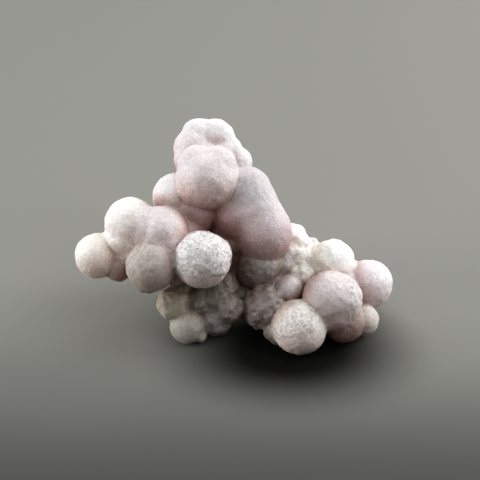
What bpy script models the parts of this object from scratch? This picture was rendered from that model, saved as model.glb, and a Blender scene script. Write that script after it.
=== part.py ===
"""Botryoidal chalcedony: one mineral growth of round balls that ran into each other as they grew.

A tower stands in the middle, one arm reaches out to the left above the floor and another slopes
down to the right, and the whole growth rests on the balls of its underside.
"""

import math
import random

import bmesh
import bpy
from mathutils import Vector, noise

MM = 0.001

# Balls are placed in millimetres as (across, up, near, radius), seen along one line of sight:
# across runs to the right, up and near are square to it, and near comes towards the eye.
SIGHT_TILT = math.radians(33)
SIGHT_HEIGHT = 13.0

# The balls that the growth rests on are worn flat by this much.
REST_WEAR = 0.12

# A ball is a little uneven: this share of its radius, in waves of about this many millimetres.
UNEVENNESS = 0.012
WAVE_LENGTH = 3.2
BALL_SUBDIVISIONS = 4

# Little lumps on the rough balls: how far apart, how large, and how deep they sit in the ball.
LUMP_SPACING = 1.8
LUMP_RADIUS = (0.8, 1.15)
LUMP_SINK = 0.6
LUMP_SUBDIVISIONS = 3
LUMP_SEED = 11

VOXEL = 0.3
TRIANGLES = 9400

TOWER = {
    "crown_left": (-6.2, 13.75, 0.5, 3.3),
    "crown_middle": (-5.4, 15.5, 0.0, 3.05),
    "crown_right": (-2.9, 15.4, 0.0, 3.05),
    "crown_bud": (0.45, 11.6, -0.3, 2.5),
    "crown_fill": (-1.4, 13.2, 0.2, 2.8),
    "crown_front": (-4.3, 12.4, 0.4, 3.2),
    "crown_side": (-7.1, 11.9, 1.6, 2.3),
    "crown_back": (-4.6, 12.6, -3.5, 2.9),
    "front": (-4.1, 8.8, 3.9, 4.85),
    "front_right": (-2.7, 10.7, 4.4, 3.2),
    "front_left": (-5.6, 10.8, 4.2, 3.15),
    "front_low": (-5.4, 7.6, 4.3, 3.4),
    "left": (-8.9, 6.1, 1.6, 3.75),
    "left_low": (-6.3, 3.6, 2.1, 3.6),
    "flank": (0.3, 2.8, 2.3, 3.6),
    "right": (2.2, 7.1, 2.1, 3.75),
    "right_upper": (2.6, 5.6, 2.3, 4.05),
    "right_middle": (3.2, 3.8, 2.3, 4.2),
    "right_lower": (3.9, 2.2, 2.0, 4.4),
    "right_low": (4.6, 0.6, 1.8, 4.55),
    "neck": (-0.3, 0.6, 0.0, 3.5),
    "foot": (3.9, -5.15, 0.6, 3.45),
    "foot_right": (8.0, -4.3, -0.9, 2.5),
    "back_high": (-1.9, 10.1, -3.0, 4.0),
    "back_middle": (0.3, 6.0, -4.0, 4.1),
    "back_left": (-4.6, 4.4, -3.0, 3.8),
    "back_right": (2.5, 1.7, -3.5, 4.1),
}
LEFT_ARM = {
    "tip": (-20.8, -3.05, 5.0, 3.45),
    "saddle": (-18.6, -1.0, 5.0, 2.0),
    "big": (-15.7, 1.9, 5.5, 4.0),
    "big_low": (-16.5, -0.4, 5.6, 3.1),
    "inner": (-10.9, 0.6, 6.0, 4.0),
    "inner_low": (-10.3, -0.9, 6.2, 3.4),
    "join": (-13.4, 1.0, 5.9, 3.55),
    "fill": (-16.2, -2.6, 5.0, 2.5),
    "low": (-12.3, -4.7, 8.1, 3.75),
    "low_join": (-10.6, -2.3, 6.6, 2.9),
    "web": (-9.0, -5.3, 5.0, 2.3),
    "front": (-4.8, -3.7, 8.5, 4.2),
    "front_side": (-3.2, -2.9, 8.8, 2.6),
    "shadow": (-17.6, -4.9, 4.8, 2.1),
    "under": (-13.0, -6.4, 6.5, 2.3),
    "root": (-8.0, 0.4, 2.1, 4.0),
    "back": (-12.5, 1.0, 1.2, 3.2),
}
RIGHT_ARM = {
    "shoulder": (9.2, -0.2, -2.0, 2.3),
    "shoulder_side": (10.0, -1.3, -1.6, 2.2),
    "shoulder_bud": (11.7, -1.5, -2.0, 1.0),
    "rough": (10.9, -3.9, -1.0, 2.3),
    "rough_inner": (8.9, -3.3, -0.9, 2.2),
    "rough_low": (10.7, -6.2, 0.3, 2.1),
    "top": (15.4, -4.2, -0.5, 3.65),
    "tip": (21.2, -7.6, -1.0, 3.85),
    "front": (14.6, -9.5, 4.5, 4.15),
    "front_side": (15.5, -9.75, 4.3, 4.1),
    "front_under": (15.4, -11.9, 4.5, 3.0),
    "base": (17.1, -13.3, 2.6, 3.25),
    "base_bud": (20.15, -13.1, 1.6, 2.45),
    "root": (17.0, -8.7, -0.2, 3.6),
    "root_inner": (12.0, -8.0, -1.4, 3.2),
    "back": (16.5, -4.8, -5.5, 3.2),
    "back_tip": (20.0, -6.8, -5.6, 2.8),
}
MIDDLE = {
    "bead": (8.5, -8.3, 1.6, 2.3),
    "rough": (4.8, -11.15, 2.5, 3.25),
    "low": (7.1, -14.2, 3.1, 2.6),
    "ball": (10.0, -13.95, 5.2, 4.15),
    "root": (5.5, -9.2, -0.6, 3.4),
}
FOOT = {
    "back": (-9.4, -10.5, 3.2, 2.45),
    "back_side": (-8.7, -8.7, 1.6, 2.2),
    "ball": (-7.1, -13.9, 2.7, 2.8),
    "ball_lobe": (-5.15, -15.5, 3.2, 0.95),
    "rough": (-2.95, -12.75, 1.5, 2.8),
    "rough_right": (-1.0, -11.2, 2.4, 2.4),
    "inner": (-4.9, -10.3, 2.0, 2.7),
    "middle": (-2.6, -9.8, 2.2, 2.6),
    "top": (-1.7, -7.9, 2.0, 2.2),
    "root": (-3.6, -7.9, -1.1, 3.3),
}
CORE = {
    "left": (-6.0, -3.6, 0.8, 3.6),
    "right": (7.7, -6.9, -3.4, 2.8),
    "low": (0.9, -6.3, -4.6, 3.9),
    "middle": (-3.0, -5.3, -4.0, 3.9),
    "neck": (0.9, -2.5, -3.0, 3.5),
    "floor": (0.9, -10.0, -1.5, 3.1),
    "floor_right": (9.7, -9.6, -1.7, 3.3),
}
BACK = {
    "foot_left": (-2.5, -3.0, -12.7, 3.6),
    "foot_right": (7.5, -4.3, -11.15, 3.3),
    "left": (-8.0, -3.75, -7.8, 3.4),
    "middle": (2.5, -0.25, -10.3, 3.9),
    "upper_left": (-5.0, 1.55, -7.9, 3.7),
    "upper_right": (6.0, 0.15, -6.3, 3.4),
    "right": (12.0, -3.45, -6.4, 3.1),
    "under_arm": (-9.5, -2.25, -2.05, 3.0),
}
GROWTH = {
    "tower": TOWER,
    "left_arm": LEFT_ARM,
    "right_arm": RIGHT_ARM,
    "middle": MIDDLE,
    "foot": FOOT,
    "core": CORE,
    "back": BACK,
}

# Balls with a rough skin, and the lowest height on the ball that the lumps reach, in radii.
ROUGH = {
    "left_arm_saddle": -0.2,
    "left_arm_front": 0.35,
    "right_arm_shoulder": -0.4,
    "right_arm_shoulder_side": -0.4,
    "right_arm_rough": -0.6,
    "right_arm_rough_inner": -0.5,
    "right_arm_rough_low": -0.6,
    "middle_rough": -0.6,
    "foot_rough": -0.4,
    "foot_rough_right": -0.5,
    "foot_top": -0.6,
    "back_upper_left": 0.2,
    "back_right": -0.2,
}


def clear_scene():
    for obj in list(bpy.data.objects):
        bpy.data.objects.remove(obj)


def new_collection(name):
    collection = bpy.data.collections.new(name)
    bpy.context.scene.collection.children.link(collection)
    return collection


def placed_balls():
    """Each ball as (centre, radius) in millimetres, standing on the floor with the growth's box centred."""
    up = Vector((0, math.sin(SIGHT_TILT), math.cos(SIGHT_TILT)))
    near = Vector((0, -math.cos(SIGHT_TILT), math.sin(SIGHT_TILT)))
    balls = {}
    for group, members in GROWTH.items():
        for name, (across, up_by, near_by, radius) in members.items():
            centre = Vector((across, 0, SIGHT_HEIGHT - REST_WEAR)) + up * up_by + near * near_by
            balls[f"{group}_{name}"] = (centre, radius)
    middle = [
        (min(c[axis] - r for c, r in balls.values()) + max(c[axis] + r for c, r in balls.values())) / 2
        for axis in (0, 1)
    ]
    shift = Vector((middle[0], middle[1], 0))
    return {name: (centre - shift, radius) for name, (centre, radius) in balls.items()}


def add_ball(bm, centre, radius, subdivisions):
    """A round ball whose surface swells and dips a little, as it grew."""
    ball = bmesh.new()
    bmesh.ops.create_icosphere(ball, subdivisions=subdivisions, radius=radius)
    for vert in ball.verts:
        wave = noise.noise((vert.co + centre) / WAVE_LENGTH)
        vert.co = (vert.co * (1 + UNEVENNESS * wave) + centre) * MM
    mesh = bpy.data.meshes.new("ball")
    ball.to_mesh(mesh)
    ball.free()
    bm.from_mesh(mesh)
    bpy.data.meshes.remove(mesh)


def spread_directions(count):
    """Unit vectors spread evenly over a ball, by the golden angle."""
    golden = math.pi * (3 - math.sqrt(5))
    for index in range(count):
        height = 1 - 2 * (index + 0.5) / count
        ring = math.sqrt(1 - height * height)
        yield Vector((ring * math.cos(golden * index), ring * math.sin(golden * index), height))


def add_lumps(bm, centre, radius, lowest, draw):
    """Little lumps over a ball, down to the given height on it."""
    count = round(4 * math.pi * radius**2 / LUMP_SPACING**2)
    for direction in spread_directions(count):
        size = draw.uniform(*LUMP_RADIUS)
        stray = Vector((draw.gauss(0, 1), draw.gauss(0, 1), draw.gauss(0, 1))) * 0.12
        if direction.z < lowest:
            continue
        place = centre + (direction + stray).normalized() * (radius - LUMP_SINK * size)
        add_ball(bm, place, size, LUMP_SUBDIVISIONS)


def chalcedony_material():
    material = bpy.data.materials.new("chalcedony")
    material.use_nodes = True
    shader = material.node_tree.nodes["Principled BSDF"]
    shader.inputs["Base Color"].default_value = (0.72, 0.64, 0.62, 1)
    shader.inputs["Roughness"].default_value = 0.42
    shader.inputs["Metallic"].default_value = 0
    return material


def floor_cutter(collection):
    """A box whose top is the floor, to flatten the balls that stand on it."""
    width, depth = 80 * MM, 10 * MM
    bm = bmesh.new()
    bmesh.ops.create_cube(bm, size=1)
    bmesh.ops.scale(bm, vec=(width, width, depth), verts=bm.verts)
    bmesh.ops.translate(bm, vec=(0, 0, -depth / 2), verts=bm.verts)
    mesh = bpy.data.meshes.new("floor")
    bm.to_mesh(mesh)
    bm.free()
    cutter = bpy.data.objects.new("floor", mesh)
    collection.objects.link(cutter)
    cutter.hide_render = True
    cutter.display_type = "WIRE"
    return cutter


def triangles_now(obj):
    """How many triangles the object has with its modifiers so far."""
    bpy.context.view_layer.update()
    evaluated = obj.evaluated_get(bpy.context.evaluated_depsgraph_get())
    return sum(len(polygon.vertices) - 2 for polygon in evaluated.data.polygons)


def grow_cluster(collection, cutter):
    bm = bmesh.new()
    draw = random.Random(LUMP_SEED)
    for name, (centre, radius) in placed_balls().items():
        add_ball(bm, centre, radius, BALL_SUBDIVISIONS)
        if name in ROUGH:
            add_lumps(bm, centre, radius, ROUGH[name], draw)
    mesh = bpy.data.meshes.new("chalcedony_cluster")
    bm.to_mesh(mesh)
    bm.free()
    mesh.materials.append(chalcedony_material())
    cluster = bpy.data.objects.new("chalcedony_cluster", mesh)
    collection.objects.link(cluster)

    fuse = cluster.modifiers.new("fuse_balls", "REMESH")
    fuse.mode = "VOXEL"
    fuse.voxel_size = VOXEL * MM
    fuse.use_smooth_shade = True
    fused = triangles_now(cluster)
    facet = cluster.modifiers.new("facet", "DECIMATE")
    facet.ratio = TRIANGLES / fused
    wear = cluster.modifiers.new("worn_rest", "BOOLEAN")
    wear.operation = "DIFFERENCE"
    wear.solver = "EXACT"
    wear.object = cutter
    return cluster


clear_scene()
grow_cluster(new_collection("botryoidal_chalcedony"), floor_cutter(new_collection("cutters")))
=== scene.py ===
"""The look of the botryoidal chalcedony: pale lavender and cream balls with a sugary skin."""

import math

import bmesh
import bpy
import numpy as np
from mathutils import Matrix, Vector, noise


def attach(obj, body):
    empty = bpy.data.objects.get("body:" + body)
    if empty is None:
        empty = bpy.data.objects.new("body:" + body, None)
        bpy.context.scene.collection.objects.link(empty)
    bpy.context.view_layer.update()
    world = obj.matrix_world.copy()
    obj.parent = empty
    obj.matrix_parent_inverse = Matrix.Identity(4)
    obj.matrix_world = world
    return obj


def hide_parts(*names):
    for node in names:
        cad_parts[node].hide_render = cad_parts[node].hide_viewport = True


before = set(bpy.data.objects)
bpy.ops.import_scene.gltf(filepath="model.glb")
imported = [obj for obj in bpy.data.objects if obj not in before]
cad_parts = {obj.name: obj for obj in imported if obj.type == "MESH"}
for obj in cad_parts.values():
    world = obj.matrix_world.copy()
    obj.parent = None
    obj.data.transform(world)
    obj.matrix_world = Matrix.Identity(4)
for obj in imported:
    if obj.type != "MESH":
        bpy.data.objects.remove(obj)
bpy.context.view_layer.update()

# The growth.
# One stone: balls of chalcedony that spread from many points at once and ran into each other.
# The balls of the tower and the left arm flowed together; the lower ones keep sharp creases.

MM = 0.001
SIGHT_TILT = math.radians(33)
SIGHT_HEIGHT = 13.0
REST_WEAR = 0.12

# Each ball, in millimetres along the line of sight: across, up, near, radius; then its colour and
# how rough its skin is, from 0 for smooth to 1 for sugary.
BALLS = {
    "tower_crown_left": (-6.2, 13.75, 0.5, 3.3, "blush", 0.15),
    "tower_crown_middle": (-5.4, 15.5, 0.0, 3.05, "white", 0.15),
    "tower_crown_right": (-2.9, 15.4, 0.0, 3.05, "white", 0.15),
    "tower_crown_bud": (0.45, 11.6, -0.3, 2.5, "white", 0.15),
    "tower_crown_fill": (-1.4, 13.2, 0.2, 2.8, "white", 0.15),
    "tower_crown_front": (-4.3, 12.4, 0.4, 3.2, "white", 0.15),
    "tower_crown_side": (-7.1, 11.9, 1.6, 2.3, "blush", 0.15),
    "tower_crown_back": (-4.6, 12.6, -3.5, 2.9, "lavender", 0.2),
    "tower_front": (-4.1, 8.8, 3.9, 4.85, "blush", 0.25),
    "tower_front_right": (-2.7, 10.7, 4.4, 3.2, "lavender", 0.25),
    "tower_front_left": (-5.6, 10.8, 4.2, 3.15, "lavender", 0.2),
    "tower_front_low": (-5.4, 7.6, 4.3, 3.4, "blush", 0.2),
    "tower_left": (-8.9, 6.1, 1.6, 3.75, "white", 0.2),
    "tower_left_low": (-6.3, 3.6, 2.1, 3.6, "shaded_rose", 0.1),
    "tower_flank": (0.3, 2.8, 2.3, 3.6, "shaded_rose", 0.15),
    "tower_right": (2.2, 7.1, 2.1, 3.75, "heather", 0.25),
    "tower_right_upper": (2.6, 5.6, 2.3, 4.05, "heather", 0.25),
    "tower_right_middle": (3.2, 3.8, 2.3, 4.2, "lavender", 0.25),
    "tower_right_lower": (3.9, 2.2, 2.0, 4.4, "lavender", 0.3),
    "tower_right_low": (4.6, 0.6, 1.8, 4.55, "mauve", 0.3),
    "tower_neck": (-0.3, 0.6, 0.0, 3.5, "mauve", 0.1),
    "tower_foot": (3.9, -5.15, 0.6, 3.45, "smoke", 0.7),
    "tower_foot_right": (8.0, -4.3, -0.9, 2.5, "pearl", 0.2),
    "tower_back_high": (-1.9, 10.1, -3.0, 4.0, "lavender", 0.25),
    "tower_back_middle": (0.3, 6.0, -4.0, 4.1, "lavender", 0.3),
    "tower_back_left": (-4.6, 4.4, -3.0, 3.8, "blush", 0.2),
    "tower_back_right": (2.5, 1.7, -3.5, 4.1, "mauve", 0.3),
    "left_arm_tip": (-20.8, -3.05, 5.0, 3.45, "cream", 0.15),
    "left_arm_saddle": (-18.6, -1.0, 5.0, 2.0, "cream", 0.45),
    "left_arm_big": (-15.7, 1.9, 5.5, 4.0, "shell", 0.25),
    "left_arm_big_low": (-16.5, -0.4, 5.6, 3.1, "shell", 0.45),
    "left_arm_inner": (-10.9, 0.6, 6.0, 4.0, "blush", 0.3),
    "left_arm_inner_low": (-10.3, -0.9, 6.2, 3.4, "blush", 0.3),
    "left_arm_join": (-13.4, 1.0, 5.9, 3.55, "blush", 0.3),
    "left_arm_fill": (-16.2, -2.6, 5.0, 2.5, "cream", 0.5),
    "left_arm_low": (-12.3, -4.7, 8.1, 3.75, "dun", 0.35),
    "left_arm_low_join": (-10.6, -2.3, 6.6, 2.9, "dun", 0.3),
    "left_arm_web": (-9.0, -5.3, 5.0, 2.3, "rust_and_shade", 0.2),
    "left_arm_front": (-4.8, -3.7, 8.5, 4.2, "frost", 0.6),
    "left_arm_front_side": (-3.2, -2.9, 8.8, 2.6, "frost", 0.6),
    "left_arm_shadow": (-17.6, -4.9, 4.8, 2.1, "rust_and_shade", 0.2),
    "left_arm_under": (-13.0, -6.4, 6.5, 2.3, "smoke", 0.3),
    "left_arm_root": (-8.0, 0.4, 2.1, 4.0, "shaded_rose", 0.2),
    "left_arm_back": (-12.5, 1.0, 1.2, 3.2, "blush", 0.3),
    "right_arm_shoulder": (9.2, -0.2, -2.0, 2.3, "ivory", 0.35),
    "right_arm_shoulder_side": (10.0, -1.3, -1.6, 2.2, "ivory", 0.4),
    "right_arm_shoulder_bud": (11.7, -1.5, -2.0, 1.0, "ivory", 0.6),
    "right_arm_rough": (10.9, -3.9, -1.0, 2.3, "olive", 0.8),
    "right_arm_rough_inner": (8.9, -3.3, -0.9, 2.2, "ivory", 0.7),
    "right_arm_rough_low": (10.7, -6.2, 0.3, 2.1, "olive", 0.7),
    "right_arm_top": (15.4, -4.2, -0.5, 3.65, "ivory", 0.35),
    "right_arm_tip": (21.2, -7.6, -1.0, 3.85, "lilac", 0.2),
    "right_arm_front": (14.6, -9.5, 4.5, 4.15, "pink", 0.35),
    "right_arm_front_side": (15.5, -9.75, 4.3, 4.1, "pink", 0.35),
    "right_arm_front_under": (15.4, -11.9, 4.5, 3.0, "shaded_rose", 0.15),
    "right_arm_base": (17.1, -13.3, 2.6, 3.25, "umber", 0.15),
    "right_arm_base_bud": (20.15, -13.1, 1.6, 2.45, "ash", 0.2),
    "right_arm_root": (17.0, -8.7, -0.2, 3.6, "mauve", 0.3),
    "right_arm_root_inner": (12.0, -8.0, -1.4, 3.2, "rust_and_shade", 0.3),
    "right_arm_back": (16.5, -4.8, -5.5, 3.2, "ivory", 0.4),
    "right_arm_back_tip": (20.0, -6.8, -5.6, 2.8, "lilac", 0.3),
    "middle_bead": (8.5, -8.3, 1.6, 2.3, "pearl", 0.2),
    "middle_rough": (4.8, -11.15, 2.5, 3.25, "smoke", 1.0),
    "middle_low": (7.1, -14.2, 3.1, 2.6, "smoke", 0.7),
    "middle_ball": (10.0, -13.95, 5.2, 4.15, "bisque", 0.45),
    "middle_root": (5.5, -9.2, -0.6, 3.4, "smoke", 0.5),
    "foot_back": (-9.4, -10.5, 3.2, 2.45, "moss", 0.5),
    "foot_back_side": (-8.7, -8.7, 1.6, 2.2, "moss", 0.8),
    "foot_ball": (-7.1, -13.9, 2.7, 2.8, "bone", 0.2),
    "foot_ball_lobe": (-5.15, -15.5, 3.2, 0.95, "bone", 0.2),
    "foot_rough": (-2.95, -12.75, 1.5, 2.8, "smoke", 1.0),
    "foot_rough_right": (-1.0, -11.2, 2.4, 2.4, "smoke", 1.0),
    "foot_inner": (-4.9, -10.3, 2.0, 2.7, "peat", 0.9),
    "foot_middle": (-2.6, -9.8, 2.2, 2.6, "peat", 0.9),
    "foot_top": (-1.7, -7.9, 2.0, 2.2, "smoke", 1.0),
    "foot_root": (-3.6, -7.9, -1.1, 3.3, "moss", 0.8),
    "core_left": (-6.0, -3.6, 0.8, 3.6, "rust_and_shade", 0.2),
    "core_right": (7.7, -6.9, -3.4, 2.8, "rust_and_shade", 0.4),
    "core_low": (0.9, -6.3, -4.6, 3.9, "rust_and_shade", 0.3),
    "core_middle": (-3.0, -5.3, -4.0, 3.9, "rust_and_shade", 0.3),
    "core_neck": (0.9, -2.5, -3.0, 3.5, "rust_and_shade", 0.2),
    "core_floor": (0.9, -10.0, -1.5, 3.1, "smoke", 0.5),
    "core_floor_right": (9.7, -9.6, -1.7, 3.3, "rust_and_shade", 0.4),
    "back_foot_left": (-2.5, -3.0, -12.7, 3.6, "cream", 0.3),
    "back_foot_right": (7.5, -4.3, -11.15, 3.3, "ash", 0.5),
    "back_left": (-8.0, -3.75, -7.8, 3.4, "ivory", 0.4),
    "back_middle": (2.5, -0.25, -10.3, 3.9, "lilac", 0.3),
    "back_upper_left": (-5.0, 1.55, -7.9, 3.7, "frost", 0.6),
    "back_upper_right": (6.0, 0.15, -6.3, 3.4, "lavender", 0.3),
    "back_right": (12.0, -3.45, -6.4, 3.1, "ivory", 0.7),
    "back_under_arm": (-9.5, -2.25, -2.05, 3.0, "ash", 0.4),
}
COLOURS = {
    "white": (0.765, 0.745, 0.75),
    "blush": (0.75, 0.69, 0.70),
    "lavender": (0.68, 0.625, 0.65),
    "heather": (0.59, 0.555, 0.575),
    "pink": (0.665, 0.615, 0.62),
    "lilac": (0.79, 0.74, 0.76),
    "mauve": (0.60, 0.51, 0.53),
    # A pinkish brown, darkened as painted shade for the shaded balls low on the tower and under the
    # arms.
    "shaded_rose": (0.38, 0.27, 0.265),
    # A reddish brown for the balls deep in the hollows: partly rust stain, partly painted shade.
    "rust_and_shade": (0.42, 0.29, 0.245),
    "umber": (0.29, 0.20, 0.17),
    "cream": (0.90, 0.84, 0.785),
    "bisque": (0.84, 0.80, 0.755),
    "dun": (0.47, 0.425, 0.39),
    "peat": (0.15, 0.13, 0.10),
    "shell": (0.91, 0.88, 0.845),
    "bone": (0.38, 0.36, 0.32),
    "ivory": (0.95, 0.94, 0.91),
    "frost": (0.81, 0.79, 0.78),
    "pearl": (0.62, 0.62, 0.63),
    "ash": (0.57, 0.52, 0.48),
    "smoke": (0.25, 0.225, 0.21),
    "moss": (0.43, 0.38, 0.305),
    "olive": (0.96, 0.95, 0.89),
}
# Balls of these colours take only a slight colour shift from the painted shade. On the others the
# painted shade is browner and pinker.
WARM_COLOURS = ("ivory", "olive", "moss", "peat", "ash", "bone")

# Balls with little lumps on them: how low on the ball they reach, in radii, how large they are, and
# how much of each stands out. A ball as small as its lumps would have LUMPS_PER_BALL of them.
LUMPS_PER_BALL = 4.6
LUMPY = {
    "left_arm_saddle": (-0.2, 0.8, 0.2),
    "right_arm_shoulder": (-0.3, 1.2, 0.1),
    "right_arm_shoulder_side": (-0.3, 1.1, 0.16),
    "right_arm_rough": (-0.8, 1.0, 0.42),
    "right_arm_rough_inner": (-0.8, 1.0, 0.4),
    "right_arm_rough_low": (-0.8, 0.95, 0.42),
    "right_arm_top": (-0.3, 1.3, 0.13),
    "middle_rough": (-0.7, 0.95, 0.28),
    "foot_rough": (-0.6, 0.85, 0.3),
    "foot_rough_right": (-0.6, 0.85, 0.3),
    "foot_top": (-0.6, 0.8, 0.3),
    "foot_inner": (-0.6, 0.9, 0.25),
    "foot_middle": (-0.6, 0.9, 0.25),
    "foot_back": (-0.4, 0.9, 0.25),
    "back_upper_left": (0.1, 1.0, 0.25),
    "back_right": (-0.3, 1.1, 0.3),
}

# Balls with a sugary crust over one side: the way it faces, how far down it reaches in radii, and
# its thickness. A second, thinner coat lies on it, higher up.
CRUSTED = {
    "left_arm_front": ((0.35, 0.1, 1), 0.1, 0.18),
    "left_arm_front_side": ((0.6, 0.1, 1), -0.3, 0.22),
    "middle_ball": ((-0.35, 0.25, 1), 0.15, 0.13),
    "right_arm_front": ((0.75, 0.25, 0.2), 0.6, 0.08),
    "right_arm_front_side": ((1, 0.1, 0.2), 0.5, 0.09),
    "left_arm_low": ((-0.6, 0.35, 0.7), 0.35, 0.1),
    "back_upper_left": ((0, 0, 1), 0.2, 0.16),
}
SECOND_COAT = 0.45
SECOND_THICKNESS = 0.35

VOXEL = 0.19
TRIANGLES = 190000
up = Vector((0, math.sin(SIGHT_TILT), math.cos(SIGHT_TILT)))
near = Vector((0, -math.cos(SIGHT_TILT), math.sin(SIGHT_TILT)))
centres = np.array(
    [
        Vector((across, 0, SIGHT_HEIGHT - REST_WEAR)) + up * up_by + near * near_by
        for across, up_by, near_by, _, _, _ in BALLS.values()
    ]
)
radii = np.array([ball[3] for ball in BALLS.values()])
low = (centres - radii[:, None]).min(0)
high = (centres + radii[:, None]).max(0)
SHIFT = np.array(((low[0] + high[0]) / 2, (low[1] + high[1]) / 2, 0))
centres -= SHIFT


def spread_directions(count):
    """Unit vectors spread evenly over a ball, by the golden angle."""
    golden = math.pi * (3 - math.sqrt(5))
    for index in range(count):
        height = 1 - 2 * (index + 0.5) / count
        ring = math.sqrt(1 - height * height)
        yield Vector((ring * math.cos(golden * index), ring * math.sin(golden * index), height))


def unit_ball(subdivisions):
    bm = bmesh.new()
    bmesh.ops.create_icosphere(bm, subdivisions=subdivisions, radius=1)
    mesh = bpy.data.meshes.new("unit_ball")
    bm.to_mesh(mesh)
    bm.free()
    return mesh


def joined_copies(name, template, turns, places):
    """One mesh of many copies of a template of triangles, each turned and sized, then moved."""
    corners = np.array([vert.co for vert in template.vertices])
    faces = np.array([face.vertices[:] for face in template.polygons])
    points = np.einsum("nij,vj->nvi", turns, corners) + places[:, None, :]
    first = np.arange(len(places)) * len(corners)
    loops = (faces[None] + first[:, None, None]).astype(np.int32).ravel()
    mesh = bpy.data.meshes.new(name)
    mesh.vertices.add(points.size // 3)
    mesh.vertices.foreach_set("co", points.astype(np.float32).ravel())
    mesh.loops.add(len(loops))
    mesh.loops.foreach_set("vertex_index", loops)
    mesh.polygons.add(len(loops) // 3)
    mesh.polygons.foreach_set("loop_start", np.arange(0, len(loops), 3, dtype=np.int32))
    mesh.update(calc_edges=True)
    return mesh


def lump_places():
    """Centres and sizes of the little lumps on the rough balls."""
    draw = np.random.default_rng(5)
    places, sizes = [], []
    for name, centre, radius in zip(BALLS, centres, radii):
        if name not in LUMPY:
            continue
        lowest, usual_size, stands = LUMPY[name]
        for direction in spread_directions(round(LUMPS_PER_BALL * (radius / usual_size) ** 2)):
            size = usual_size * draw.uniform(0.75, 1.25)
            stray = Vector(draw.normal(0, 0.2, 3))
            sunk = size * (1 - stands * draw.uniform(0.6, 1.4))
            if direction.z >= lowest:
                outward = (direction + stray).normalized()
                places.append(Vector(centre) + outward * (radius - sunk))
                sizes.append(size)
    return np.array(places), np.array(sizes)


def finished_mesh(obj, name):
    """The object's mesh with its modifiers applied; the object itself goes."""
    graph = bpy.context.evaluated_depsgraph_get()
    mesh = bpy.data.meshes.new_from_object(obj.evaluated_get(graph))
    mesh.name = name
    bpy.data.objects.remove(obj)
    return mesh


def points_of(mesh):
    points = np.empty(len(mesh.vertices) * 3, np.float32)
    mesh.vertices.foreach_get("co", points)
    return points.reshape(-1, 3).astype(float) / MM


def normals_of(mesh):
    normals = np.empty(len(mesh.vertices) * 3, np.float32)
    mesh.vertices.foreach_get("normal", normals)
    return normals.reshape(-1, 3).astype(float)


def set_points(mesh, points):
    mesh.vertices.foreach_set("co", (points * MM).astype(np.float32).ravel())
    mesh.update()


def smoothstep(low_end, high_end, values):
    t = np.clip((values - low_end) / (high_end - low_end), 0, 1)
    return t * t * (3 - 2 * t)


def noise_at(points, wave, shift=0.0):
    """Smooth noise from -1 to 1 in waves of about that many millimetres; shift moves it elsewhere."""
    return np.array([noise.noise(Vector(p)) for p in points / wave + shift])


def cobbles(points, pitch):
    """Rounded cobbles about that many millimetres apart, from 0 in their seams to 1 on top."""
    return np.array([1 - min(noise.voronoi(Vector(p))[0][0] ** 2, 1) for p in points / pitch])


def depth_in_balls(points):
    """How far each point is outside each ball, in millimetres."""
    return np.stack(
        [np.linalg.norm(points - centre, axis=1) - radius for centre, radius in zip(centres, radii)],
        axis=1,
    )


lump_centres, lump_sizes = lump_places()
all_centres = np.concatenate([centres, lump_centres])
all_sizes = np.concatenate([radii, lump_sizes])
rough_cast = joined_copies(
    "rough_cast", unit_ball(5), all_sizes[:, None, None] * np.eye(3) * MM, all_centres * MM
)
cast = bpy.data.objects.new("rough_cast", rough_cast)
bpy.context.scene.collection.objects.link(cast)
fuse = cast.modifiers.new("fuse", "REMESH")
fuse.mode = "VOXEL"
fuse.voxel_size = VOXEL * MM
stone_mesh = finished_mesh(cast, "stone")
stone = bpy.data.objects.new("stone", stone_mesh)
bpy.context.scene.collection.objects.link(stone)

# The tower's and the left arm's balls flowed together, so their creases are rounded out, and
# most of all those of the tower's front and right side, which are one smooth form.
points = points_of(stone_mesh)
outside = depth_in_balls(points)
# How far the balls whose names start like this flowed, from 0 to 1. The first match counts. One
# ball's share runs into the next within about FLOW_BLEND millimetres.
FLOW_BLEND = 0.5
FLOW_STEPS = 110
FLOW_LEVELS = 20
FLOWED = {
    "tower_right": 1.0,
    "tower_front": 0.6,
    "tower_crown": 0.25,
    "tower": 0.08,
    "foot": 0.1,
    "left_arm_join": 0.3,
    "left_arm_big": 0.12,
    "left_arm": 0.06,
    "right_arm_front": 0.3,
    "right_arm": 0.05,
    "core": 0.2,
    "back": 0.15,
}
flowing = []
for name in BALLS:
    flowing.append(next((flow for start, flow in FLOWED.items() if name.startswith(start)), 0))
rough_of = np.array([ball[5] for ball in BALLS.values()])
share = np.exp(-np.clip(outside, 0, None) / FLOW_BLEND)
share /= share.sum(1, keepdims=True)
flow = share @ np.array(flowing) * (1 - 0.5 * smoothstep(0.3, 0.7, share @ rough_of))
soft = stone.vertex_groups.new(name="soft")
for level in range(1, FLOW_LEVELS + 1):
    members = np.flatnonzero(np.round(flow * FLOW_LEVELS) == level)
    soft.add(members.tolist(), level / FLOW_LEVELS, "REPLACE")
flow_out = stone.modifiers.new("flow_out", "SMOOTH")
flow_out.factor = 0.5
flow_out.iterations = FLOW_STEPS
flow_out.vertex_group = "soft"
settle = stone.modifiers.new("settle", "SMOOTH")
settle.factor = 0.5
settle.iterations = 3
# Thinned out, the stone keeps under 200,000 triangles.
thin_out = stone.modifiers.new("thin_out", "DECIMATE")
thin_out.ratio = TRIANGLES / (2 * len(stone_mesh.polygons))
stone_mesh = finished_mesh(stone, "stone")

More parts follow.
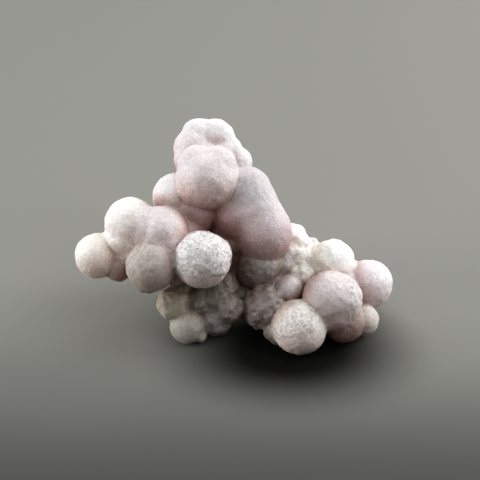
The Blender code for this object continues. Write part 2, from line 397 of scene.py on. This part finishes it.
# Skin: slow swells, a crust that ends in a ragged ledge, and sugary grain where it is rough. Each
# relief stands this high in millimetres. Of a pair, the first is for smooth skin and the second is
# added as it gets rough, apart from the cobbles, whose second number is for the finer ones.
# SKIN_BLEND is how many millimetres one ball's skin takes to run into the next.
SLOW_RISE = 0.08
SWELL_RISE = (0.10, 0.03)
GRAIN_RISE = (0.06, 0.03)
FINE_RISE = (0.022, 0.01)
COBBLE_RISE = (0.16, 0.03)
COBBLE_SINK = 0.11
SCRATCH_RISE = 0.08
CRAG_RISE = 0.22
CRAG_RIDGE_RISE = 0.12
STREAK_RISE = 0.09
SKIN_BLEND = 0.45
SCRATCHED = ("left_arm_saddle", "left_arm_big_low")
CRAGGY_COLOURS = ("smoke", "moss", "peat")
points = points_of(stone_mesh)
normals = normals_of(stone_mesh)
outside = depth_in_balls(points)
owner = outside.argmin(1)
share = np.exp(-np.clip(outside - outside.min(1, keepdims=True), 0, None) / SKIN_BLEND)
share /= share.sum(1, keepdims=True)
rough = share @ rough_of
outward = (points - centres[owner]) / radii[owner][:, None]
ragged = noise_at(points, 1.4) + 0.3 * noise_at(points, 0.7, 7.3)
torn = noise_at(points, 1.6, 91.3)
coat = np.zeros(len(points))
names = list(BALLS)
for name, (facing, reach, thickness) in CRUSTED.items():
    mine = owner == names.index(name)
    height = outward[mine] @ Vector(facing).normalized()
    edge = height - reach + 0.14 * ragged[mine]
    second = height - reach - SECOND_COAT + 0.2 * torn[mine]
    coats = smoothstep(-0.12, 0.12, edge) + SECOND_THICKNESS * smoothstep(-0.1, 0.1, second)
    coat[mine] = thickness * coats
crusted = np.clip(coat / 0.15, 0, 1)
rough = np.clip(rough * (0.45 + 0.55 * smoothstep(-0.5, 0.3, normals[:, 2])) + 0.16 * crusted, 0, 1)
slow = noise_at(points, 3.4, 3.1)
swell = noise_at(points, 1.5, 11.7)
grain = noise_at(points, 0.62, 23.9)
fine = noise_at(points, 0.42, 37.1)
crumbly = np.clip(0.5 * crusted + smoothstep(0.5, 0.95, rough), 0, 1)
crumbs = np.zeros(len(points))
some = np.flatnonzero(crumbly > 0.02)
crumbs[some] = COBBLE_RISE[0] * cobbles(points[some], 1.7)
crumbs[some] += COBBLE_RISE[1] * cobbles(points[some] + 5, 1.0)
ridges = 1 - 2 * np.abs(noise_at(points * (1.0, 0.45, 1.0), 1.0, 51.3))
scratched = share @ np.array([name in SCRATCHED for name in BALLS], float)
craggy = share @ np.array([ball[4] in CRAGGY_COLOURS for ball in BALLS.values()], float)
crags = noise_at(points, 1.7, 77.7)
streaks = noise_at(points * (1.0, 1.0, 0.25), 0.55, 61.7)
streaked = share @ np.array([name.startswith("right_arm_front") for name in BALLS], float)
rise = (
    SLOW_RISE * slow
    + (SWELL_RISE[0] + SWELL_RISE[1] * rough) * swell
    + (GRAIN_RISE[0] + GRAIN_RISE[1] * rough) * grain
    + (FINE_RISE[0] + FINE_RISE[1] * rough) * fine
    + crumbly * (crumbs - COBBLE_SINK)
    + SCRATCH_RISE * scratched * ridges
    + craggy * (CRAG_RISE * crags + CRAG_RIDGE_RISE * ridges)
    + STREAK_RISE * streaked * streaks
    + coat
)
points = points + normals * rise[:, None]
points[:, 2] = np.clip(points[:, 2], 0, None)
set_points(stone_mesh, points)


def sheltered(points, normals):
    """How much of each point's sky the balls around it hide, from 0 to 1."""
    hidden = np.zeros(len(points))
    for centre, radius in zip(centres, radii):
        away = centre - points
        distance = np.linalg.norm(away, axis=1)
        facing = (away * normals).sum(1) / distance
        span = np.clip(radius / np.maximum(distance, radius * 1.02), 0, 1) ** 2
        hidden += np.clip(facing, 0, None) * span
    return 1 - np.exp(-1.1 * hidden)


# The skin takes its ball's colour with painted shade over it: browner and pinker where less of the
# sky reaches it, and darkest along the seams where two balls meet at a sharp angle. The losses are
# shares of red, green and blue, and the painted crease shades are the shares left where the sky is
# hidden.
SHADE_LOSS_WARM = np.array((0.0, 0.04, 0.08))
SHADE_LOSS_PINK = np.array((0.15, 0.28, 0.33))
CREASE_SHADE_WARM = np.array((0.93, 0.90, 0.84))
CREASE_SHADE_PINK = np.array((0.78, 0.69, 0.66))
SEAM_SHADE_LOSS = np.array((0.32, 0.42, 0.46))
FROST_AND_TOP_LIGHT = np.array((0.87, 0.865, 0.86))
SKY_DIRECTION = (0, 0.6, 0.8)
TINT_BLEND = 0.3
SEAM_SHADE_WIDTH = 0.3
outside = depth_in_balls(points)
nearest, second = np.argsort(outside, axis=1)[:, :2].T
each = np.arange(len(points))
gap = outside[each, second] - outside[each, nearest]
towards = points - centres[nearest]
towards_second = points - centres[second]
lengths = np.linalg.norm(towards, axis=1) * np.linalg.norm(towards_second, axis=1)
sharp = smoothstep(0.2, 1.0, 1 - (towards * towards_second).sum(1) / lengths)
seam_shade = (np.exp(-gap / SEAM_SHADE_WIDTH) * sharp * (1 - 0.6 * craggy))[:, None]
shelter = sheltered(points, normals)
colours = np.array([COLOURS[ball[4]] for ball in BALLS.values()])
tint_share = np.exp(-np.clip(outside - outside.min(1, keepdims=True), 0, None) / TINT_BLEND)
tint_share /= tint_share.sum(1, keepdims=True)
colour_and_painted_light = tint_share @ colours
facing_light = 0.5 + 0.5 * (normals @ SKY_DIRECTION) + 0.2 * np.abs(normals[:, 0])
lit = (1 - shelter) * np.clip(facing_light, 0, 1)
dim = 1 - smoothstep(0.05, 0.7, lit)[:, None]
warm = np.array([ball[4] in WARM_COLOURS for ball in BALLS.values()], float)
warm = (share @ warm)[:, None]
shade_loss = warm * SHADE_LOSS_WARM + (1 - warm) * SHADE_LOSS_PINK
# Painted shade where the skin faces away from the light.
colour_and_painted_light = colour_and_painted_light * (1 - dim * shade_loss)
crease = warm * CREASE_SHADE_WARM + (1 - warm) * CREASE_SHADE_PINK
# Painted shade in the hollows, where the balls around hide the sky.
deep_shade = smoothstep(0.4, 0.95, shelter)[:, None]
colour_and_painted_light = colour_and_painted_light * (1 - deep_shade * (1 - crease))
# Painted shade along the seams between balls.
colour_and_painted_light = colour_and_painted_light * (1 - seam_shade * (1 - 0.5 * warm) * SEAM_SHADE_LOSS)
# Partly a real whitish frost on pale rough skin and partly painted top light: it is strongest on faces
# turned up and open to the sky.
pale = smoothstep(0.4, 0.7, colour_and_painted_light.mean(1))
frost_and_top_light = 0.05 + 0.25 * pale
frost_and_top_light = frost_and_top_light * smoothstep(0.35, 0.9, rough) * smoothstep(-0.1, 0.5, normals[:, 2])
colour_and_painted_light = colour_and_painted_light + (FROST_AND_TOP_LIGHT - colour_and_painted_light) * frost_and_top_light[:, None] * (1 - deep_shade)


def add_colour(mesh, name, values):
    attribute = mesh.color_attributes.new(name, "FLOAT_COLOR", "POINT")
    rgba = np.ones((len(values), 4), np.float32)
    rgba[:, :3] = values
    attribute.data.foreach_set("color", rgba.ravel())


def add_value(mesh, name, values):
    attribute = mesh.attributes.new(name, "FLOAT", "POINT")
    attribute.data.foreach_set("value", values.astype(np.float32))


add_colour(stone_mesh, "colour_and_painted_light", colour_and_painted_light)
add_value(stone_mesh, "rough", rough)
stone = bpy.data.objects.new("stone", stone_mesh)
bpy.context.scene.collection.objects.link(stone)
stone_mesh.shade_smooth()


# The grain's size and the height of its bumps, in metres.
GRAIN_PITCH = 0.00032
GRAIN_HEIGHT = 0.00013
# Both the skin and the tips are quartz.
QUARTZ_IOR = 1.54


def grain_group():
    """Sugary grain of the given size: colour mottling, a height, and which of the grains are clear."""
    group = bpy.data.node_groups.new("sugar_grain", "ShaderNodeTree")
    for name, usual_value in (("Grain Size", 0.0004), ("Strength", 1.0)):
        socket = group.interface.new_socket(name, in_out="INPUT", socket_type="NodeSocketFloat")
        socket.default_value = usual_value
    for name in ("Mottle", "Height", "Fleck"):
        group.interface.new_socket(name, in_out="OUTPUT", socket_type="NodeSocketFloat")
    nodes, links = group.nodes, group.links
    start, end = nodes.new("NodeGroupInput"), nodes.new("NodeGroupOutput")
    place = nodes.new("ShaderNodeTexCoord")
    pitch = nodes.new("ShaderNodeMath")
    pitch.operation = "DIVIDE"
    pitch.inputs[0].default_value = 1
    links.new(start.outputs["Grain Size"], pitch.inputs[1])
    cells = nodes.new("ShaderNodeTexVoronoi")
    cells.feature = "SMOOTH_F1"
    cells.inputs["Smoothness"].default_value = 0.35
    blur = nodes.new("ShaderNodeTexNoise")
    blur.inputs["Detail"].default_value = 3
    for texture in (cells, blur):
        links.new(place.outputs["Object"], texture.inputs["Vector"])
        links.new(pitch.outputs[0], texture.inputs["Scale"])
    dome = nodes.new("ShaderNodeMath")
    dome.operation = "SUBTRACT"
    dome.inputs[0].default_value = 1
    links.new(cells.outputs["Distance"], dome.inputs[1])
    both = nodes.new("ShaderNodeMath")
    both.operation = "ADD"
    links.new(dome.outputs[0], both.inputs[0])
    links.new(blur.outputs["Fac"], both.inputs[1])
    # A few of the grains are clear; their colour is made a little lighter as a painted glint.
    clear = nodes.new("ShaderNodeMath")
    clear.operation = "GREATER_THAN"
    clear.inputs[1].default_value = 0.68
    links.new(cells.outputs["Color"], clear.inputs[0])
    links.new(clear.outputs[0], end.inputs["Fleck"])
    scaled = nodes.new("ShaderNodeMath")
    scaled.operation = "MULTIPLY"
    links.new(both.outputs[0], scaled.inputs[0])
    links.new(start.outputs["Strength"], scaled.inputs[1])
    links.new(scaled.outputs[0], end.inputs["Height"])
    half = nodes.new("ShaderNodeMath")
    half.operation = "MULTIPLY"
    half.inputs[1].default_value = 0.5
    links.new(both.outputs[0], half.inputs[0])
    links.new(half.outputs[0], end.inputs["Mottle"])
    return group


SUGAR_GRAIN = grain_group()


def stone_material():
    material = bpy.data.materials.new("chalcedony_skin")
    material.use_nodes = True
    nodes, links = material.node_tree.nodes, material.node_tree.links
    shader = nodes["Principled BSDF"]
    shader.inputs["Subsurface Weight"].default_value = 0.65
    shader.inputs["Subsurface Radius"].default_value = (1.0, 0.88, 0.84)
    shader.inputs["Subsurface Scale"].default_value = 0.001
    shader.inputs["IOR"].default_value = QUARTZ_IOR
    shader.inputs["Specular IOR Level"].default_value = 0.35
    tint_in = nodes.new("ShaderNodeAttribute")
    tint_in.attribute_name = "colour_and_painted_light"
    rough_in = nodes.new("ShaderNodeAttribute")
    rough_in.attribute_name = "rough"
    grain_node = nodes.new("ShaderNodeGroup")
    grain_node.node_tree = SUGAR_GRAIN
    grain_node.inputs["Grain Size"].default_value = GRAIN_PITCH
    mottle = nodes.new("ShaderNodeMapRange")
    mottle.inputs["From Min"].default_value = 0.38
    mottle.inputs["From Max"].default_value = 0.72
    mottle.inputs["To Min"].default_value = 0.88
    mottle.inputs["To Max"].default_value = 1.05
    links.new(grain_node.outputs["Mottle"], mottle.inputs["Value"])
    # Painted glints: the clear grains' colour is a tenth lighter.
    mottle_and_glints = nodes.new("ShaderNodeMath")
    mottle_and_glints.operation = "MULTIPLY_ADD"
    mottle_and_glints.inputs[1].default_value = 0.1
    links.new(grain_node.outputs["Fleck"], mottle_and_glints.inputs[0])
    links.new(mottle.outputs["Result"], mottle_and_glints.inputs[2])
    shade = nodes.new("ShaderNodeVectorMath")
    shade.operation = "SCALE"
    links.new(tint_in.outputs["Color"], shade.inputs[0])
    links.new(mottle_and_glints.outputs[0], shade.inputs["Scale"])
    links.new(shade.outputs["Vector"], shader.inputs["Base Color"])
    gloss = nodes.new("ShaderNodeMapRange")
    gloss.inputs["To Min"].default_value = 0.5
    gloss.inputs["To Max"].default_value = 0.65
    links.new(rough_in.outputs["Fac"], gloss.inputs["Value"])
    links.new(gloss.outputs["Result"], shader.inputs["Roughness"])
    lift = nodes.new("ShaderNodeMapRange")
    lift.inputs["To Min"].default_value = 0.5
    lift.inputs["To Max"].default_value = 1.0
    links.new(rough_in.outputs["Fac"], lift.inputs["Value"])
    links.new(lift.outputs["Result"], grain_node.inputs["Strength"])
    bump = nodes.new("ShaderNodeBump")
    bump.inputs["Strength"].default_value = 0.7
    bump.inputs["Distance"].default_value = GRAIN_HEIGHT
    links.new(grain_node.outputs["Height"], bump.inputs["Height"])
    links.new(bump.outputs["Normal"], shader.inputs["Normal"])
    return material


stone_mesh.materials.clear()
stone_mesh.materials.append(stone_material())
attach(stone, "root")
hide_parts("chalcedony_cluster")

# The druse.
# Tiny quartz tips that give the skin its sugary sparkle: many and larger where the skin is rough,
# and none on the smooth balls. Each is a low six-sided point, partly sunk in the stone.

# Tips on each square millimetre of rough skin, and their radius where it is least and most rough,
# in millimetres. Their height and how much of it is sunk are shares of the radius and the height.
TIP_RATE = 11.0
TIP_RADIUS = (0.09, 0.15)
TIP_HEIGHTS = (0.35, 0.7)
TIP_LEAN = 0.2
TIP_SUNK = (0.2, 0.5)
LOWEST_TIP = 0.25
DRUSES = {
    "druse_tower": ("tower",),
    "druse_left_arm": ("left_arm",),
    "druse_right_arm": ("right_arm",),
    "druse_base": ("middle", "foot", "core"),
    "druse_back": ("back",),
}


def unit_tip():
    """A six-sided point of radius 1 and height 1, closed below, with its foot at zero."""
    bm = bmesh.new()
    bmesh.ops.create_cone(bm, cap_ends=True, segments=6, radius1=1, radius2=0, depth=1)
    bmesh.ops.translate(bm, vec=(0, 0, 0.5), verts=bm.verts)
    bmesh.ops.triangulate(bm, faces=bm.faces)
    mesh = bpy.data.meshes.new("unit_tip")
    bm.to_mesh(mesh)
    bm.free()
    return mesh


def of_faces(mesh, field, width):
    values = np.empty(len(mesh.polygons) * width, np.float32)
    mesh.polygons.foreach_get(field, values)
    return values.reshape(-1, width).astype(float)


def tip_material():
    material = bpy.data.materials.new("quartz_tips")
    material.use_nodes = True
    nodes, links = material.node_tree.nodes, material.node_tree.links
    shader = nodes["Principled BSDF"]
    shader.inputs["Roughness"].default_value = 0.45
    shader.inputs["IOR"].default_value = QUARTZ_IOR
    tint_in = nodes.new("ShaderNodeAttribute")
    tint_in.attribute_name = "colour_and_painted_light"
    links.new(tint_in.outputs["Color"], shader.inputs["Base Color"])
    # Light spreads inside the clear tips, so their facets are shaded mostly like the skin below.
    lie_in = nodes.new("ShaderNodeAttribute")
    lie_in.attribute_name = "lie"
    facet = nodes.new("ShaderNodeNewGeometry")
    blend = nodes.new("ShaderNodeMix")
    blend.data_type = "VECTOR"
    rough_in = nodes.new("ShaderNodeAttribute")
    rough_in.attribute_name = "rough"
    spread = nodes.new("ShaderNodeMapRange")
    spread.inputs["From Min"].default_value = 0.6
    spread.inputs["To Min"].default_value = 0.88
    spread.inputs["To Max"].default_value = 0.84
    links.new(rough_in.outputs["Fac"], spread.inputs["Value"])
    links.new(spread.outputs["Result"], blend.inputs["Factor"])
    links.new(facet.outputs["Normal"], blend.inputs["A"])
    links.new(lie_in.outputs["Vector"], blend.inputs["B"])
    links.new(blend.outputs["Result"], shader.inputs["Normal"])
    return material


face_centres = of_faces(stone_mesh, "center", 3) / MM
face_normals = of_faces(stone_mesh, "normal", 3)
face_areas = of_faces(stone_mesh, "area", 1)[:, 0] / MM**2
first_corner = np.empty(len(stone_mesh.polygons), np.int32)
stone_mesh.polygons.foreach_get("loop_start", first_corner)
corner_points = np.empty(len(stone_mesh.loops), np.int32)
stone_mesh.loops.foreach_get("vertex_index", corner_points)
face_point = corner_points[first_corner]
face_rough = rough[face_point]
face_owner = owner[face_point]
draw = np.random.default_rng(29)
rate = TIP_RATE * smoothstep(0.3, 0.65, face_rough)
picked = draw.uniform(size=len(rate)) < rate * face_areas
picked &= face_centres[:, 2] > LOWEST_TIP
tip_mesh = unit_tip()
QUARTZ = tip_material()
for piece_name, starts in DRUSES.items():
    its_balls = [index for index, name in enumerate(names) if name.startswith(starts)]
    chosen = np.flatnonzero(picked & np.isin(face_owner, its_balls))
    count = len(chosen)
    skin = face_rough[chosen]
    radius = TIP_RADIUS[0] + (TIP_RADIUS[1] - TIP_RADIUS[0]) * smoothstep(0.15, 0.85, skin)
    radius = radius * draw.uniform(0.7, 1.4, count)
    axis = face_normals[chosen] + draw.normal(0, TIP_LEAN, (count, 3))
    axis /= np.linalg.norm(axis, axis=1, keepdims=True)
    side = np.cross(axis, draw.normal(size=(count, 3)))
    side /= np.linalg.norm(side, axis=1, keepdims=True)
    across = np.cross(axis, side)
    height = radius * draw.uniform(*TIP_HEIGHTS, count)
    turns = np.stack([side * radius[:, None], across * radius[:, None], axis * height[:, None]], axis=2)
    sunk = height * draw.uniform(*TIP_SUNK, count)
    stray = draw.uniform(-0.16, 0.16, (count, 2))
    places = face_centres[chosen] + side * stray[:, :1] + across * stray[:, 1:] - axis * sunk[:, None]
    tips = joined_copies(piece_name, tip_mesh, turns * MM, places * MM)
    # The tips take the skin's colour, painted shade included, a little lighter or darker at random.
    colour = colour_and_painted_light[face_point[chosen]] * draw.uniform(0.9, 1.06, (count, 1))
    corners = len(tip_mesh.vertices)
    add_colour(tips, "colour_and_painted_light", np.repeat(np.clip(colour, 0, 0.92), corners, axis=0))
    lie = tips.attributes.new("lie", "FLOAT_VECTOR", "POINT")
    lie_values = np.repeat(face_normals[chosen], corners, axis=0).astype(np.float32)
    lie.data.foreach_set("vector", lie_values.ravel())
    add_value(tips, "rough", np.repeat(skin, corners))
    tips.materials.append(QUARTZ)
    piece = bpy.data.objects.new(piece_name, tips)
    bpy.context.scene.collection.objects.link(piece)
    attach(piece, "root")

# Floor, lights and camera.
# A grey sheet with painted shade towards the viewer and a painted shadow under the stone, soft lights
# above and behind and on both sides, and the eye 33 degrees above the floor.

FLOOR_REACH = 1.5
bm = bmesh.new()
bmesh.ops.create_grid(bm, x_segments=1, y_segments=1, size=FLOOR_REACH)
floor_mesh = bpy.data.meshes.new("floor")
bm.to_mesh(floor_mesh)
bm.free()
floor = bpy.data.objects.new("floor", floor_mesh)
bpy.context.scene.collection.objects.link(floor)
paper = bpy.data.materials.new("pale_floor")
paper.use_nodes = True
nodes, links = paper.node_tree.nodes, paper.node_tree.links
paper_shader = nodes["Principled BSDF"]
paper_shader.inputs["Roughness"].default_value = 0.8
paper_shader.inputs["Specular IOR Level"].default_value = 0.05
# Painted shade: the sheet is darker towards the viewer.
place = nodes.new("ShaderNodeTexCoord")
depth = nodes.new("ShaderNodeSeparateXYZ")
links.new(place.outputs["Object"], depth.inputs["Vector"])
fade = nodes.new("ShaderNodeMapRange")
fade.interpolation_type = "SMOOTHSTEP"
fade.inputs["From Min"].default_value = -0.042
fade.inputs["From Max"].default_value = 0.0
links.new(depth.outputs["Y"], fade.inputs["Value"])
tone = nodes.new("ShaderNodeMix")
tone.data_type = "RGBA"
tone.inputs["A"].default_value = (0.06, 0.061, 0.057, 1)
tone.inputs["B"].default_value = (0.215, 0.215, 0.197, 1)
links.new(fade.outputs["Result"], tone.inputs["Factor"])
# Painted shadow: the sheet is darkest under the stone and just in front of it.
below = nodes.new("ShaderNodeVectorMath")
below.operation = "MULTIPLY_ADD"
below.inputs[1].default_value = (60, 85, 0)
below.inputs[2].default_value = (-0.5, 0.93, 0)
links.new(place.outputs["Object"], below.inputs[0])
away = nodes.new("ShaderNodeVectorMath")
away.operation = "LENGTH"
links.new(below.outputs["Vector"], away.inputs[0])
painted_shadow = nodes.new("ShaderNodeMapRange")
painted_shadow.interpolation_type = "SMOOTHSTEP"
painted_shadow.inputs["From Min"].default_value = 0.4
painted_shadow.inputs["From Max"].default_value = 1.45
painted_shadow.inputs["To Min"].default_value = 0.02
links.new(away.outputs["Value"], painted_shadow.inputs["Value"])
shaded = nodes.new("ShaderNodeVectorMath")
shaded.operation = "SCALE"
links.new(tone.outputs["Result"], shaded.inputs[0])
links.new(painted_shadow.outputs["Result"], shaded.inputs["Scale"])
links.new(shaded.outputs["Vector"], paper_shader.inputs["Base Color"])
floor_mesh.materials.append(paper)


def area_light(name, place, aim, size, power, colour):
    light = bpy.data.lights.new(name, "AREA")
    light.shape = "DISK"
    light.size = size
    light.energy = power
    light.color = colour
    lamp = bpy.data.objects.new(name, light)
    lamp.location = place
    lamp.rotation_euler = (Vector(aim) - Vector(place)).to_track_quat("-Z", "Y").to_euler()
    bpy.context.scene.collection.objects.link(lamp)


area_light("window", (-0.04, 0.2, 0.38), (0, 0, 0.01), 0.36, 0.36, (1.0, 0.99, 0.97))
area_light("left_side", (-0.42, -0.03, 0.09), (0, 0, 0.01), 0.25, 1.45, (1.0, 0.98, 0.96))
area_light("front", (0.28, -0.12, 0.32), (0, 0, 0.01), 0.3, 0.46, (1.0, 0.98, 0.95))
area_light("right_side", (0.4, 0.16, 0.21), (0, 0, 0.01), 0.25, 1.7, (1.0, 0.98, 0.96))
world = bpy.data.worlds.new("room_light")
world.use_nodes = True
nodes, links = world.node_tree.nodes, world.node_tree.links
direction = nodes.new("ShaderNodeTexCoord")
skyward = nodes.new("ShaderNodeVectorMath")
skyward.operation = "DOT_PRODUCT"
skyward.inputs[1].default_value = (-0.05, 0.38, 0.92)
links.new(direction.outputs["Generated"], skyward.inputs[0])
level = nodes.new("ShaderNodeMapRange")
level.interpolation_type = "SMOOTHSTEP"
level.inputs["From Min"].default_value = -0.3
level.inputs["From Max"].default_value = 0.8
level.inputs["To Min"].default_value = 0.06
level.inputs["To Max"].default_value = 0.9
links.new(skyward.outputs["Value"], level.inputs["Value"])
links.new(level.outputs["Result"], nodes["Background"].inputs["Strength"])
nodes["Background"].inputs["Color"].default_value = (0.97, 0.98, 1.0, 1)
bpy.context.scene.world = world
bpy.context.scene.view_settings.view_transform = "Standard"

EYE_DISTANCE = 0.170
EYE_LENS = 81.1
# The middle of the picture, in millimetres across and up from the zero of the balls' places.
PICTURE_MIDDLE = (0.943, -0.629)
target = Vector((PICTURE_MIDDLE[0], 0, SIGHT_HEIGHT - REST_WEAR)) + up * PICTURE_MIDDLE[1]
target = (target - Vector(SHIFT)) * MM
lens = bpy.data.cameras.new("eye")
lens.sensor_width = 36
lens.lens = EYE_LENS
lens.clip_start = 0.01
eye = bpy.data.objects.new("eye", lens)
eye.location = target + near * EYE_DISTANCE
eye.rotation_euler = (-near).to_track_quat("-Z", "Y").to_euler()
bpy.context.scene.collection.objects.link(eye)
bpy.context.scene.camera = eye
